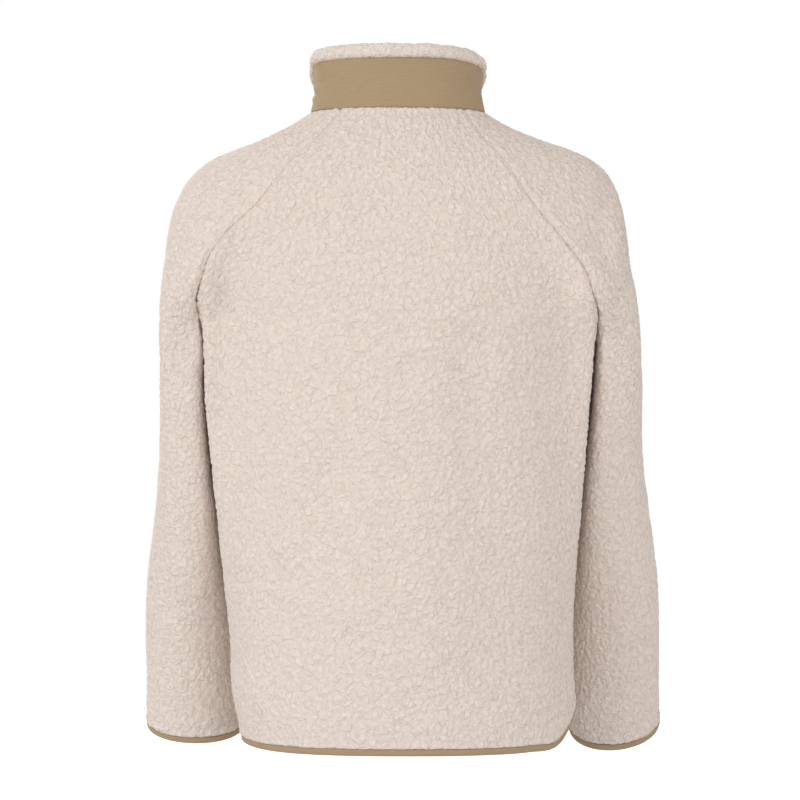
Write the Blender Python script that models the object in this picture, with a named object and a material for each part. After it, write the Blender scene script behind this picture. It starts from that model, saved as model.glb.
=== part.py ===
"""Pile fleece jacket with raglan sleeves, stand collar and front zip, in its worn shape with no wearer.

Frame: the origin is the middle of the neckline, +Z is up, the front faces -Y and the wearer's left is +X.
All sizes are in millimetres until a mesh is made, where MM turns them into metres.
Angles go round the body in degrees: 0 the wearer's left side, 90 the back, 180 the right side, 270 the front.
"""

import bmesh
import bpy
import numpy as np

MM = 0.001
FLEECE = 5.0  # pile fleece, from the tips of the pile to its smooth inner face
WOVEN = 1.2  # tan cloth of the collar
GAP = 0.3  # between pieces that are sewn together
SEAM_DIP = 1.0  # how far a seam pulls the pile in
ROUNDNESS = 2 / 2.25  # exponent of the body's oval sections, 1 for an ellipse

BODY_ROWS = 14  # rows of faces from hem to underarm
RAGLAN_ROWS = 11  # rows of faces from underarm to neck
SLEEVE_ROWS = 16  # rows of faces from cuff to underarm
BACK_COLUMNS = 22
FRONT_COLUMNS = 11
SLEEVE_COLUMNS = 20

HEM_HEIGHT = -628.0
UNDERARM_LEFT = -198.0
UNDERARM_RIGHT = -212.0
NECK_DROP = 42.0  # how much lower the neckline is at the front

BINDING_HEIGHT = 6.5
BINDING_WALL = 1.0
EDGE_WALL = 2.4  # fleece pressed flat inside a binding
EDGE_ROWS = (BINDING_WALL + GAP, 7.4, 11.0)  # first rows above a bound edge

COLLAR_COLUMNS = 44
COLLAR_HEIGHT = 49.0

ZIP_GAP = 6.0  # from the middle of the front to the fleece's edge
TAPE_OUTER = 13.0
TAPE_BEHIND_FRONT = 0.9  # the flat tape's distance from the curved fronts at the zip's edge
TAPE_BEHIND_COLLAR = 1.7
TAPE_WALL = 0.8
CHAIN_HALF = 2.8
CHAIN_WALL = 2.2
ZIP_TOP = 33.7  # height of the closed chain's top above the neck seam

SLIDER_HALF = 4.6  # half the width of the slider's plates
CROWN_WIDTH = 2.4
PIVOT_OUT = 3.7  # the pull's axis, in front of the chain's middle
PIVOT_UP = 29.0  # and above the neck seam
PULL_WALL = 1.2


def table(columns, *rows):
    """Rows of sizes under named columns."""
    return dict(zip(columns.split(), np.array(rows, float).T))


# Oval sections of the body, pile tip to pile tip.
BODY = table(
    "height half_width centre_x back_depth front_depth",
    (-640, 166.0, -11.5, 124.0, 131.0),
    (-612, 168.0, -10.5, 123.5, 131.0),
    (-578, 170.4, -5.6, 123.0, 131.0),
    (-526, 170.6, -3.4, 122.5, 131.0),
    (-466, 174.0, -1.4, 122.5, 131.5),
    (-406, 178.5, -0.8, 123.0, 132.5),
    (-346, 183.0, 0.0, 124.5, 134.5),
    (-286, 188.0, 0.3, 126.0, 136.0),
    (-216, 192.5, -1.5, 126.5, 136.0),
    (-160, 206.0, -1.0, 122.5, 128.0),
    (-100, 212.0, 0.0, 112.0, 110.0),
    (-50, 169.0, 0.0, 96.0, 82.0),
    (-20, 113.0, 0.0, 81.0, 69.0),
    (0, 87.0, 0.0, 68.0, 60.0),
)

# How far the hem is lifted round the body.
HEM = table(
    "angle rise",
    (-90, 0.0),
    (-40, 0.0),
    (0, 3.0),
    (40, 0.0),
    (90, 0.0),
    (113, 0.0),
    (131, 0.5),
    (149, 4.0),
    (161, 20.0),
    (180, 36.0),
    (198, 27.0),
    (215, 11.0),
    (235, 2.0),
    (270, 0.0),
)

# Where the raglan seams cross the body's sections, in degrees from the side, by share of the way up.
RAGLAN = table(
    "share back_left back_right front",
    (0.00, 0.0, 0.0, 0.0),
    (0.12, 18.0, 19.5, 18.0),
    (0.25, 28.8, 30.5, 29.0),
    (0.37, 40.1, 42.3, 40.0),
    (0.50, 50.4, 51.5, 49.6),
    (0.65, 54.8, 55.6, 52.8),
    (0.80, 55.0, 54.6, 51.2),
    (1.00, 52.0, 44.0, 45.0),
)

# The sleeves above the underarm: the line over the shoulder, and how the cloth bows away from it.
SHOULDER = table(
    "share ridge_left ridge_right ridge_y ridge_height ridge_reach seam_reach follow",
    (0.00, 226.0, 225.0, -8.0, -150.0, 104.0, 104.0, 0.0),
    (0.12, 225.0, 223.5, -8.0, -126.0, 94.0, 60.0, 0.15),
    (0.25, 221.5, 221.0, -7.0, -101.0, 80.0, 42.0, 0.5),
    (0.37, 215.5, 218.0, -6.0, -80.0, 68.0, 36.0, 0.8),
    (0.50, 204.0, 209.0, -5.0, -61.0, 58.0, 36.0, 1.0),
    (0.65, 180.0, 189.0, -4.0, -44.0, 48.0, 36.0, 1.0),
    (0.80, 144.0, 151.0, -2.0, -30.0, 42.0, 34.0, 1.0),
    (0.90, 113.0, 112.0, -1.0, -17.5, 34.0, 28.0, 1.0),
    (1.00, 87.0, 87.0, 0.0, 0.0, 28.0, 24.0, 1.0),
)

# Oval sections of the sleeves from cuff to underarm. Lift is how much higher the outer side of one lies, and
# drop how steeply its back side falls.
SLEEVE = table(
    "height inner_left outer_left inner_right outer_right middle_y half_depth twist drop_left drop_right"
    " lift_left lift_right",
    (-620, 158, 259, 176, 270, -95, 38, 0, 0.50, 0.85, 2, 8),
    (-570, 159, 258, 173, 268, -86, 42, 2, 0.36, 0.52, 1, 6),
    (-526, 161, 258, 170, 267, -78, 47, 4, 0.24, 0.30, 0, 4),
    (-466, 166, 254, 170, 263, -65, 54, 8, 0.12, 0.14, 3, 4),
    (-406, 172, 243, 173, 252, -55, 61, 12, 0.05, 0.05, 8, 8),
    (-346, 180, 232, 180, 239, -45, 68, 15, 0.0, 0.0, 18, 18),
    (-286, 188, 227, 189, 234, -34, 75, 15, 0.0, 0.0, 30, 30),
    (-226, 194, 226, 197, 229, -17, 79, 13, 0.0, 0.0, 42, 42),
    (-174, 193, 226, 195, 225, 0, 78, 9, 0.0, 0.0, 48, 58),
)

# The largest troughs, on the back (side 1) and the front (side -1), as lines from top to bottom.
FOLDS = table(
    "side x_top z_top x_bottom z_bottom width_top width_bottom depth",
    (1, -72, -235, -90, -540, 24, 46, 5.0),
    (1, 66, -360, 114, -545, 26, 38, 5.0),
    (1, 160, -235, 168, -300, 16, 22, 2.5),
    (1, -203, -80, -204, -150, 9, 12, 2.5),
    (-1, 96, -210, 88, -500, 22, 36, 4.5),
    (-1, -118, -330, -100, -545, 24, 36, 4.5),
)

# Section of the collar band, from the neck seam up: how far it leans in.
COLLAR = table(
    "height inset",
    (-5, 0.0),
    (0, 0.0),
    (15, 2.5),
    (30, 4.6),
    (42, 3.6),
    (50, 2.6),
    (65, 2.4),
)

# Section of the collar's fleece lining, rolled over the band's top edge: inwards, upwards.
LINING_SECTION = (
    (1.5, -0.4),
    (1.5, 12.0),
    (1.5, 24.0),
    (1.5, 36.0),
    (1.5, 49.3),
    (-1.0, 49.5),
    (-2.6, 52.0),
    (-3.0, 56.0),
    (-1.4, 60.6),
    (2.0, 63.2),
    (6.0, 63.2),
    (9.4, 60.6),
    (11.0, 56.5),
    (10.4, 51.5),
    (8.2, 45.5),
    (6.5, 40.0),
    (6.5, 24.0),
    (6.5, 12.0),
    (6.5, -3.2),
)

# Section of a binding folded over an edge: outwards from the middle of the wall, up from the edge.
BINDING_SECTION = (
    (EDGE_WALL / 2 + GAP + BINDING_WALL, BINDING_HEIGHT),
    (EDGE_WALL / 2 + GAP + BINDING_WALL, 1.2),
    (1.5, 0.0),
    (-1.5, 0.0),
    (-EDGE_WALL / 2 - GAP - BINDING_WALL, 1.2),
    (-EDGE_WALL / 2 - GAP - BINDING_WALL, BINDING_HEIGHT),
    (-EDGE_WALL / 2 - GAP, BINDING_HEIGHT),
    (-EDGE_WALL / 2 - GAP, BINDING_WALL),
    (EDGE_WALL / 2 + GAP, BINDING_WALL),
    (EDGE_WALL / 2 + GAP, BINDING_HEIGHT),
)


# Side views of the slider's plates and of the crown that holds the pull: backwards from the chain's
# middle, and up from the neck seam.
SLIDER_PLATES = (
    (-2.6, 24.0),
    (-1.4, 23.4),
    (-1.4, 34.0),
    (1.4, 34.0),
    (1.4, 23.4),
    (2.6, 24.0),
    (2.6, 36.8),
    (1.8, 37.6),
    (-1.8, 37.6),
    (-2.6, 36.8),
)
SLIDER_CROWN = (
    (-2.5, 26.4),
    (-5.1, 26.7),
    (-5.8, 27.8),
    (-5.8, 33.2),
    (-5.1, 34.3),
    (-2.5, 34.6),
    (-2.5, 33.4),
    (-4.6, 33.1),
    (-4.8, 32.6),
    (-4.8, 28.4),
    (-4.6, 27.9),
    (-2.5, 27.6),
)

# The pull seen from the front, across and up from its axis: its edge and its eye.
PULL_EDGE = (
    (-3.0, 0.7),
    (3.0, 0.7),
    (3.4, 0.2),
    (3.4, -5.5),
    (2.7, -8.0),
    (3.3, -21.0),
    (2.4, -24.0),
    (-2.4, -24.0),
    (-3.3, -21.0),
    (-2.7, -8.0),
    (-3.4, -5.5),
    (-3.4, 0.2),
)
PULL_EYE = (
    (-1.7, -0.7),
    (1.7, -0.7),
    (1.7, -4.6),
    (-1.7, -4.6),
)


# ---------------------------------------------------------------- curves and surfaces


def read(sizes, column, at):
    """A smooth curve through one column of a table, read at places along its first column."""
    knots = next(iter(sizes.values()))
    values = sizes[column]
    slopes = np.gradient(values, knots)
    at = np.asarray(at, float)
    row = np.clip(np.searchsorted(knots, at) - 1, 0, len(knots) - 2)
    span = knots[row + 1] - knots[row]
    t = np.clip((at - knots[row]) / span, 0, 1)
    rise = (1 - t) ** 2 * t * slopes[row] - (1 - t) * t**2 * slopes[row + 1]
    return (1 - t) ** 2 * (1 + 2 * t) * values[row] + t**2 * (3 - 2 * t) * values[row + 1] + span * rise


def unit(vectors):
    return vectors / np.maximum(np.linalg.norm(vectors, axis=-1, keepdims=True), 1e-9)


def bend(value):
    """A sine or cosine drawn towards a squarer oval."""
    return np.sign(value) * np.abs(value) ** ROUNDNESS


def body_point(angle, height):
    """The body's outer face at an angle round it and a height."""
    angle, height = np.broadcast_arrays(np.asarray(angle, float), np.asarray(height, float))
    cosine, sine = np.cos(np.radians(angle)), np.sin(np.radians(angle))
    depth = np.where(sine >= 0, read(BODY, "back_depth", height), read(BODY, "front_depth", height))
    x = read(BODY, "centre_x", height) + read(BODY, "half_width", height) * bend(cosine)
    return np.stack([x, depth * bend(sine), height], axis=-1)


def neck_height(angle):
    """The neckline is level round the back and falls towards the front."""
    return -NECK_DROP * np.minimum(np.sin(np.radians(angle)), 0) ** 2


def collar_inset(angle, up):
    """How far the collar leans in at a height above the neck seam, least at the front."""
    return read(COLLAR, "inset", up) * (1 - 0.8 * np.minimum(np.sin(np.radians(angle)), 0) ** 2)


def hem_height(angle):
    return HEM_HEIGHT + read(HEM, "rise", angle)


def underarm_height(angle):
    """The two underarms differ in height, and the rows between them run from one to the other."""
    return UNDERARM_LEFT + (UNDERARM_RIGHT - UNDERARM_LEFT) * (1 - np.cos(np.radians(angle))) / 2


def front_edge_angle(height):
    """How far from the middle of the front the zip edge lies, in degrees."""
    return np.degrees(np.arcsin((ZIP_GAP / read(BODY, "half_width", height)) ** (1 / ROUNDNESS)))


def seam(side, face, share):
    """Angle and height of a raglan seam (side 1 left, -1 right; face 1 back, -1 front) at a share of its way up."""
    column = "front" if face < 0 else ("back_left" if side > 0 else "back_right")
    turned = read(RAGLAN, column, share)
    angle = face * turned if side > 0 else 180 - face * turned
    low = UNDERARM_LEFT if side > 0 else UNDERARM_RIGHT
    top = neck_height(face * read(RAGLAN, column, 1.0))
    return angle, low + (top - low) * share


def bow(start, start_pull, end, end_pull, count):
    """Points of a cubic curve that leaves start along start_pull and reaches end from end_pull."""
    t = np.linspace(0, 1, count)[:, None]
    a, b = start + start_pull, end + end_pull
    return (1 - t) ** 3 * start + 3 * (1 - t) ** 2 * t * a + 3 * (1 - t) * t**2 * b + t**3 * end


# ---------------------------------------------------------------- panels of the body


def lower_rows(angles):
    """Rows from the hem to the underarm at these angles."""
    hem, top = hem_height(angles), underarm_height(angles)
    start = hem + EDGE_ROWS[-1]
    rows = [hem + up for up in EDGE_ROWS[:-1]]
    rows += [start + (top - start) * share for share in np.linspace(0, 1, BODY_ROWS - 1)]
    return [body_point(angles, row) for row in rows]


def back_panel():
    rows = lower_rows(np.linspace(0, 180, BACK_COLUMNS + 1))
    for share in np.linspace(0, 1, RAGLAN_ROWS + 1)[1:]:
        left, left_height = seam(1, 1, share)
        right, right_height = seam(-1, 1, share)
        across = np.linspace(0, 1, BACK_COLUMNS + 1)
        angles = left + (right - left) * across
        rows.append(body_point(angles, left_height + (right_height - left_height) * across))
    return np.array(rows)


def front_panel(side):
    """The left front runs from the zip to the side, and the right front from the side to the zip."""
    across = np.linspace(0, 1, FRONT_COLUMNS + 1)

    def angles(outer, edge_height):
        edge = 90 - front_edge_angle(edge_height)
        return -edge + (edge - outer) * across if side > 0 else 180 + outer + (edge - outer) * across

    rows = lower_rows(angles(0.0, HEM_HEIGHT))
    heights = np.array([row[0 if side > 0 else -1, 2] for row in rows])
    rows = [body_point(angles(0.0, z), row[:, 2]) for row, z in zip(rows, heights)]
    for share in np.linspace(0, 1, RAGLAN_ROWS + 1)[1:]:
        outer = read(RAGLAN, "front", share)
        seam_height = seam(side, -1, share)[1]
        middle = heights[-1] + (-NECK_DROP - heights[-1]) * share
        row = angles(outer, middle)
        fall = (np.sin(np.radians(row)) ** 2 - np.sin(np.radians(outer)) ** 2) / np.cos(np.radians(outer)) ** 2
        rows.append(body_point(row, seam_height + (middle - seam_height) * fall))
    return np.array(rows)


# ---------------------------------------------------------------- sleeves


def seam_frame(side, face, share):
    """A raglan seam's point, and the direction in which the body's face would go on past it."""
    step = 0.01
    here = body_point(*seam(side, face, share))
    below = body_point(*seam(side, face, max(share - step, 0)))
    above = body_point(*seam(side, face, min(share + step, 1)))
    angle, height = seam(side, face, share)
    around = body_point(angle + 1, height) - body_point(angle - 1, height)
    upwards = body_point(angle, height + 1) - body_point(angle, height - 1)
    onward = unit(np.cross(unit(np.cross(around, upwards)), unit(above - below)))
    return here, onward * (1 if onward[0] * side > 0 else -1)


def sleeve_ring(side, height):
    """One oval section below the underarm, from the underarm line round and back to it."""
    name = "left" if side > 0 else "right"
    lift = read(SLEEVE, "lift_" + name, height) / 2
    middle = read(SLEEVE, "middle_y", height)
    inner = np.array([side * read(SLEEVE, "inner_" + name, height), middle, height - lift])
    outer = np.array([side * read(SLEEVE, "outer_" + name, height), middle, height + lift])
    twist = np.radians(read(SLEEVE, "twist", height))
    back = unit(np.array([side * np.sin(twist), np.cos(twist), -read(SLEEVE, "drop_" + name, height)]))
    pull = back * read(SLEEVE, "half_depth", height) * 4 / 3
    half = SLEEVE_COLUMNS // 2 + 1
    first = bow(inner, -side * pull, outer, -side * pull, half)
    return np.concatenate([first, bow(outer, side * pull, inner, side * pull, half)[1:]])


def shoulder_row(side, share):
    """One row above the underarm, from seam to seam over the shoulder."""
    name = "left" if side > 0 else "right"
    column = lambda key: float(read(SHOULDER, key, share))
    ridge = np.array([side * column("ridge_" + name), column("ridge_y"), column("ridge_height")])
    twist = np.radians(read(SLEEVE, "twist", SLEEVE["height"][-1])) * (1 - share)
    back = np.array([side * np.sin(twist), np.cos(twist), 0])
    half = SLEEVE_COLUMNS // 2 + 1
    halves = []
    for face in (1, -1):
        start, onward = seam_frame(side, face, share)
        away = unit(np.array([side * 0.12, face, 0]))
        leave = unit(away * (1 - column("follow")) + onward * column("follow"))
        halves.append(
            bow(start, leave * column("seam_reach"), ridge, face * back * column("ridge_reach"), half)
        )
    to_back, to_front = halves
    if side > 0:
        return np.concatenate([to_front, to_back[::-1][1:]])
    return np.concatenate([to_back, to_front[::-1][1:]])


def neck_row(side):
    """The sleeve's top edge, on the neckline."""
    back, front = seam(side, 1, 1.0)[0], seam(side, -1, 1.0)[0]
    angles = np.linspace(front, back, SLEEVE_COLUMNS + 1) if side > 0 else np.linspace(
        back, front, SLEEVE_COLUMNS + 1)
    return body_point(angles, neck_height(angles))


def sleeve_panel(side):
    start = SLEEVE["height"][0]
    heights = [start + up for up in EDGE_ROWS[:-1]]
    heights += list(np.linspace(start + EDGE_ROWS[-1], SLEEVE["height"][-1], SLEEVE_ROWS - 1)[:-1])
    rows = [sleeve_ring(side, height) for height in heights]
    rows += [shoulder_row(side, share) for share in np.linspace(0, 1, RAGLAN_ROWS + 1)]
    rows[-1] = neck_row(side)
    rows[-2] = (rows[-2] + (rows[-1] + rows[-3]) / 2) / 2
    rows[-2][[0, -1]] = [body_point(*seam(side, face, 1 - 1 / RAGLAN_ROWS)) for face in (-side, side)]
    return np.array(rows)


# ---------------------------------------------------------------- walls


def grid_faces(rows, columns, closed_rows=0):
    """Quads of a grid of points. The first and last points of the closed rows are one point."""
    number = np.arange(rows * columns).reshape(rows, columns)
    number[:closed_rows, -1] = number[:closed_rows, 0]
    return [
        (number[i, j], number[i, j + 1], number[i + 1, j + 1], number[i + 1, j])
        for i in range(rows - 1)
        for j in range(columns - 1)
    ]


def point_normals(points, faces):
    """Outward direction at each point of a skin."""
    corners = points[np.array(faces)]
    normals = np.cross(corners[:, 2] - corners[:, 0], corners[:, 3] - corners[:, 1])
    total = np.zeros_like(points)
    for corner in range(4):
        np.add.at(total, np.array(faces)[:, corner], normals)
    return unit(total)


def open_edges(faces):
    """The edges that only one face has, in that face's direction."""
    edges = [(face[i], face[(i + 1) % 4]) for face in faces for i in range(4)]
    known = set(edges)
    return [(a, b) for a, b in edges if (b, a) not in known]


def seam_gap(points, normals, faces):
    """How each point on an open edge moves back, so that half of the gap is on its side."""
    shift = np.zeros_like(points)
    for a, b in open_edges(faces):
        inward = unit(np.cross(unit(normals[a] + normals[b]), points[b] - points[a]))
        shift[a] += inward
        shift[b] += inward
    length = np.linalg.norm(shift, axis=1, keepdims=True)
    return np.where(length > 0, shift / np.maximum(length, 0.7) ** 2 * 2, 0) * GAP / 2


def solid(name, points, faces, material):
    """A mesh object with this name, from points in millimetres."""
    mesh = bpy.data.meshes.new(name)
    mesh.from_pydata((np.asarray(points) * MM).tolist(), [], [tuple(int(i) for i in face) for face in faces])
    shape = bmesh.new()
    shape.from_mesh(mesh)
    loose = [point for point in shape.verts if not point.link_faces]
    bmesh.ops.delete(shape, geom=loose, context="VERTS")
    shape.to_mesh(mesh)
    shape.free()
    mesh.shade_smooth()
    mesh.set_sharp_from_angle(angle=np.radians(40))
    mesh.materials.append(material)
    made = bpy.data.objects.new(name, mesh)
    jacket.objects.link(made)
    return made


def wall(name, outer, inner, faces, material):
    """A cloth piece: its outer and inner skins, joined round every open edge."""
    count = len(outer)
    skin = [tuple(face) for face in faces]
    lining = [tuple(point + count for point in face[::-1]) for face in skin]
    rim = []
    for a, b in open_edges(skin):
        # Both pieces at a seam split its rim the same way, from the lower outer point.
        if outer[a][2] < outer[b][2]:
            rim += [(b, a, b + count), (a, a + count, b + count)]
        else:
            rim += [(b, a, a + count), (b, a + count, b + count)]
    return solid(name, np.concatenate([outer, inner]), skin + lining + rim, material)


def sweep(name, sections, material):
    """A closed section carried along a path and capped at both ends: sections is path × section × 3."""
    steps, around = sections.shape[:2]
    number = np.arange(steps * around).reshape(steps, around)
    faces = [
        (number[i, j], number[i, (j + 1) % around], number[i + 1, (j + 1) % around], number[i + 1, j])
        for i in range(steps - 1)
        for j in range(around)
    ]
    caps = [tuple(number[0][::-1]), tuple(number[-1])]
    return solid(name, sections.reshape(-1, 3), faces + caps, material)


def ring(name, sections, material):
    """A closed section carried round a closed path."""
    steps, around = sections.shape[:2]
    number = np.arange(steps * around).reshape(steps, around)
    faces = [
        (number[i, j], number[i, (j + 1) % around], number[(i + 1) % steps, (j + 1) % around],
         number[(i + 1) % steps, j])
        for i in range(steps)
        for j in range(around)
    ]
    return solid(name, sections.reshape(-1, 3), faces, material)


# ---------------------------------------------------------------- the fleece pieces


def press_folds(points, normals):
    """Moves a skin in along the troughs of the FOLDS table."""
    moved = points.copy()
    for side, x_top, z_top, x_bottom, z_bottom, width_top, width_bottom, depth in zip(*FOLDS.values()):
        start, run = np.array([x_top, z_top]), np.array([x_bottom - x_top, z_bottom - z_top])
        flat = points[:, [0, 2]] - start
        along = np.clip(flat @ run / (run @ run), 0, 1)
        away = np.linalg.norm(flat - along[:, None] * run, axis=1)
        width = width_top + (width_bottom - width_top) * along
        facing = np.clip(side * normals[:, 1] * 2, 0, 1)
        moved -= normals * (depth * facing * np.exp(-((away / width) ** 2)))[:, None]
    return moved


def fleece_skins():
    """Outer points, normals and faces of the five fleece panels, with shared normals at their seams."""
    grids = {
        "front_left": front_panel(1),
        "back_panel": back_panel(),
        "front_right": front_panel(-1),
        "sleeve_left": sleeve_panel(1),
        "sleeve_right": sleeve_panel(-1),
    }
    skins, shared = {}, {}
    for name, grid in grids.items():
        closed_rows = SLEEVE_ROWS + 1 if name.startswith("sleeve") else 0
        faces = grid_faces(*grid.shape[:2], closed_rows)
        points = grid.reshape(-1, 3)
        normals = point_normals(points, faces)
        points = press_folds(points, normals)
        skins[name] = {"points": points, "normals": normals, "faces": faces, "shape": grid.shape[:2]}
        group = "sleeve" if name.startswith("sleeve") else "body"
        for point, normal in zip(grid.reshape(-1, 3).round(3), normals):
            shared.setdefault(tuple(point), {}).setdefault(group, np.zeros(3))
            shared[tuple(point)][group] += normal
    for name, grid in grids.items():
        meeting = [shared[tuple(point)] for point in grid.reshape(-1, 3).round(3)]
        skins[name]["normals"] = np.array([unit(sum(unit(n) for n in groups.values())) for groups in meeting])
        skins[name]["on_raglan"] = np.array([len(groups) > 1 for groups in meeting])
    return skins


def fleece_wall(name, skin):
    """One panel: thinner where a binding grips it, and pulled in along its raglan seams and neck edge."""
    rows, columns = skin["shape"]
    row = np.repeat(np.arange(rows), columns)
    tuck = np.where(row < 2, (FLEECE - EDGE_WALL) / 2, 0.0)
    dip = np.where(skin["on_raglan"] | (row == rows - 1), SEAM_DIP, 0.0)
    points = skin["points"] + seam_gap(skin["points"], skin["normals"], skin["faces"])
    outer = points - skin["normals"] * (tuck + dip)[:, None]
    inner = points - skin["normals"] * (FLEECE - tuck)[:, None]
    return wall(name, outer, inner, skin["faces"], fleece)


def binding_sections(edge, above, normals):
    """Sections of a binding along an edge, given by its points, the points above them and their normals."""
    up = unit((above - edge) - normals * np.sum((above - edge) * normals, axis=1, keepdims=True))
    foot = edge - normals * FLEECE / 2 - up * EDGE_ROWS[0]
    return np.array([[f + n * out + u * high for out, high in BINDING_SECTION]
                     for f, n, u in zip(foot, normals, up)])


def hem_binding(skins):
    """From one zip edge round the back to the other."""
    edge, above, normals = [], [], []
    for name in ("front_left", "back_panel", "front_right"):
        columns = skins[name]["shape"][1]
        kept = slice(0, columns) if name == "front_left" else slice(1, columns)
        edge += list(skins[name]["points"][:columns][kept])
        above += list(skins[name]["points"][columns:2 * columns][kept])
        normals += list(skins[name]["normals"][:columns][kept])
    sweep("hem_binding", binding_sections(*map(np.array, (edge, above, normals))), woven)


def cuff_binding(name, skin):
    columns = skin["shape"][1]
    rows = [skin[key][start:start + columns - 1] for key, start in
            (("points", 0), ("points", columns), ("normals", 0))]
    ring(name, binding_sections(*rows), woven)


# ---------------------------------------------------------------- collar


def collar_sections(section):
    """A section carried round the neckline from one zip edge to the other: pairs of (inwards, upwards)."""
    edge = 90 - front_edge_angle(-NECK_DROP)
    angles = np.linspace(-edge, 180 + edge, COLLAR_COLUMNS + 1)
    seam_line = body_point(angles, neck_height(angles))
    along = np.gradient(seam_line, axis=0)
    outward = unit(np.stack([along[:, 1], -along[:, 0], np.zeros(len(along))], axis=1))
    outward[[0, -1]] = [0, -1, 0]
    return np.array([[point - out * (inwards + collar_inset(angle, up)) + np.array([0, 0, up])
                      for inwards, up in section] for angle, point, out in zip(angles, seam_line, outward)])


def collar():
    band = [(0, GAP), (0, 12), (0, 24), (0, 36), (0, COLLAR_HEIGHT)]
    band += [(WOVEN, up) for _, up in band[::-1]]
    sweep("collar_band", collar_sections(band)[:, ::-1], woven)
    sweep("collar_lining", collar_sections(LINING_SECTION)[:, ::-1], fleece)


# ---------------------------------------------------------------- zip


def zip_path():
    """The line down the middle of the front, on the inner face of fleece and collar: points and outward."""
    heights = np.linspace(HEM_HEIGHT + EDGE_ROWS[0], -NECK_DROP - 14, 24)
    line = body_point(-90.0, heights)
    line[:, 0] = read(BODY, "centre_x", heights)
    along = np.gradient(line, axis=0)
    outward = unit(np.stack([np.zeros(len(line)), -along[:, 2], along[:, 1]], axis=1))
    line -= outward * (FLEECE + TAPE_BEHIND_FRONT)
    neck = body_point(-90.0, -NECK_DROP)
    inset = LINING_SECTION[-1][0] + TAPE_BEHIND_COLLAR
    collar_line = [[0, neck[1] + inset + collar_inset(-90, 30.0), neck[2] + up]
                   for up in (-4.5, 5.0, 14.0, 24.0, ZIP_TOP)]
    return np.concatenate([line, collar_line]), np.concatenate([outward, [[0, -1, 0]] * len(collar_line)])


def strip(name, left, right, front, back, material):
    """A strip along the zip's line, between two distances sideways and two behind the line."""
    line, outward = zip_path()
    across = np.array([1.0, 0, 0])
    corners = ((left, front), (right, front), (right, back), (left, back))
    sections = np.array([[point + across * x - out * depth for x, depth in corners]
                         for point, out in zip(line, outward)])
    sweep(name, sections, material)


def plate(name, loops, thickness, turn, place, material):
    """A flat outline with its thickness, turned upright about Z and set at a place in millimetres."""
    curve = bpy.data.curves.new(name, "CURVE")
    curve.dimensions = "2D"
    curve.fill_mode = "BOTH"
    curve.extrude = thickness / 2 * MM
    for loop in loops:
        spline = curve.splines.new("POLY")
        spline.points.add(len(loop) - 1)
        for point, (across, up) in zip(spline.points, loop):
            point.co = (across * MM, up * MM, 0, 1)
        spline.use_cyclic_u = True
    curve.materials.append(material)
    made = bpy.data.objects.new(name, curve)
    made.location = [size * MM for size in place]
    made.rotation_euler = (np.pi / 2, 0, turn)
    jacket.objects.link(made)
    return made


def welded(made):
    """The same shape as one welded mesh, in place of its curve."""
    bpy.context.view_layer.update()
    mesh = bpy.data.meshes.new_from_object(made.evaluated_get(bpy.context.evaluated_depsgraph_get()))
    shape = bmesh.new()
    shape.from_mesh(mesh)
    bmesh.ops.remove_doubles(shape, verts=shape.verts, dist=1e-6)
    bmesh.ops.recalc_face_normals(shape, faces=shape.faces)
    shape.to_mesh(mesh)
    shape.free()
    name, place = made.name, made.matrix_world.copy()
    bpy.data.objects.remove(made)
    kept = bpy.data.objects.new(name, mesh)
    kept.matrix_world = place
    jacket.objects.link(kept)
    return kept


def zip_parts():
    """Tapes, closed chain, slider at the top, and its pull hanging from the crown."""
    inner_edge = CHAIN_HALF + GAP
    strip("zip_tape_left", inner_edge, TAPE_OUTER, 0.0, TAPE_WALL, tape)
    strip("zip_tape_right", -TAPE_OUTER, -inner_edge, 0.0, TAPE_WALL, tape)
    middle = TAPE_WALL / 2
    strip("zip_chain", -CHAIN_HALF, CHAIN_HALF, middle - CHAIN_WALL / 2, middle + CHAIN_WALL / 2, tape)

    chain_y = zip_path()[0][-1, 1] + middle
    place = (0, chain_y, -NECK_DROP)
    sideways = np.pi / 2
    slider = welded(plate("zip_slider", [SLIDER_PLATES], SLIDER_HALF * 2, sideways, place, metal))
    crown = welded(plate("slider_crown", [SLIDER_CROWN], CROWN_WIDTH, sideways, place, metal))
    jacket.objects.unlink(crown)
    cutters.objects.link(crown)
    crown.hide_render = True
    crown.display_type = "WIRE"
    join = slider.modifiers.new("Crown", "BOOLEAN")
    join.operation = "UNION"
    join.object = crown
    pivot = (0, chain_y - PIVOT_OUT, PIVOT_UP - NECK_DROP)
    plate("zip_pull", [PULL_EDGE, PULL_EYE], PULL_WALL, 0, pivot, metal)


# ---------------------------------------------------------------- materials and making


def finish(name, colour, roughness, metallic=0.0):
    made = bpy.data.materials.new(name)
    made.use_nodes = True
    shader = made.node_tree.nodes["Principled BSDF"]
    shader.inputs["Base Color"].default_value = (*colour, 1)
    shader.inputs["Roughness"].default_value = roughness
    shader.inputs["Metallic"].default_value = metallic
    return made


for old in list(bpy.data.objects):
    bpy.data.objects.remove(old)

jacket = bpy.data.collections.new("Fleece jacket")
cutters = bpy.data.collections.new("Joined shapes")
bpy.context.scene.collection.children.link(jacket)
bpy.context.scene.collection.children.link(cutters)

fleece = finish("Pile fleece", (0.80, 0.72, 0.65), 0.95)
woven = finish("Tan woven cloth", (0.36, 0.28, 0.19), 0.8)
tape = finish("Zip tape", (0.33, 0.26, 0.18), 0.7)
metal = finish("Dull metal", (0.45, 0.42, 0.38), 0.35, 1.0)

panels = fleece_skins()
for panel_name, panel in panels.items():
    fleece_wall(panel_name, panel)
hem_binding(panels)
cuff_binding("cuff_binding_left", panels["sleeve_left"])
cuff_binding("cuff_binding_right", panels["sleeve_right"])
collar()
zip_parts()
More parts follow.
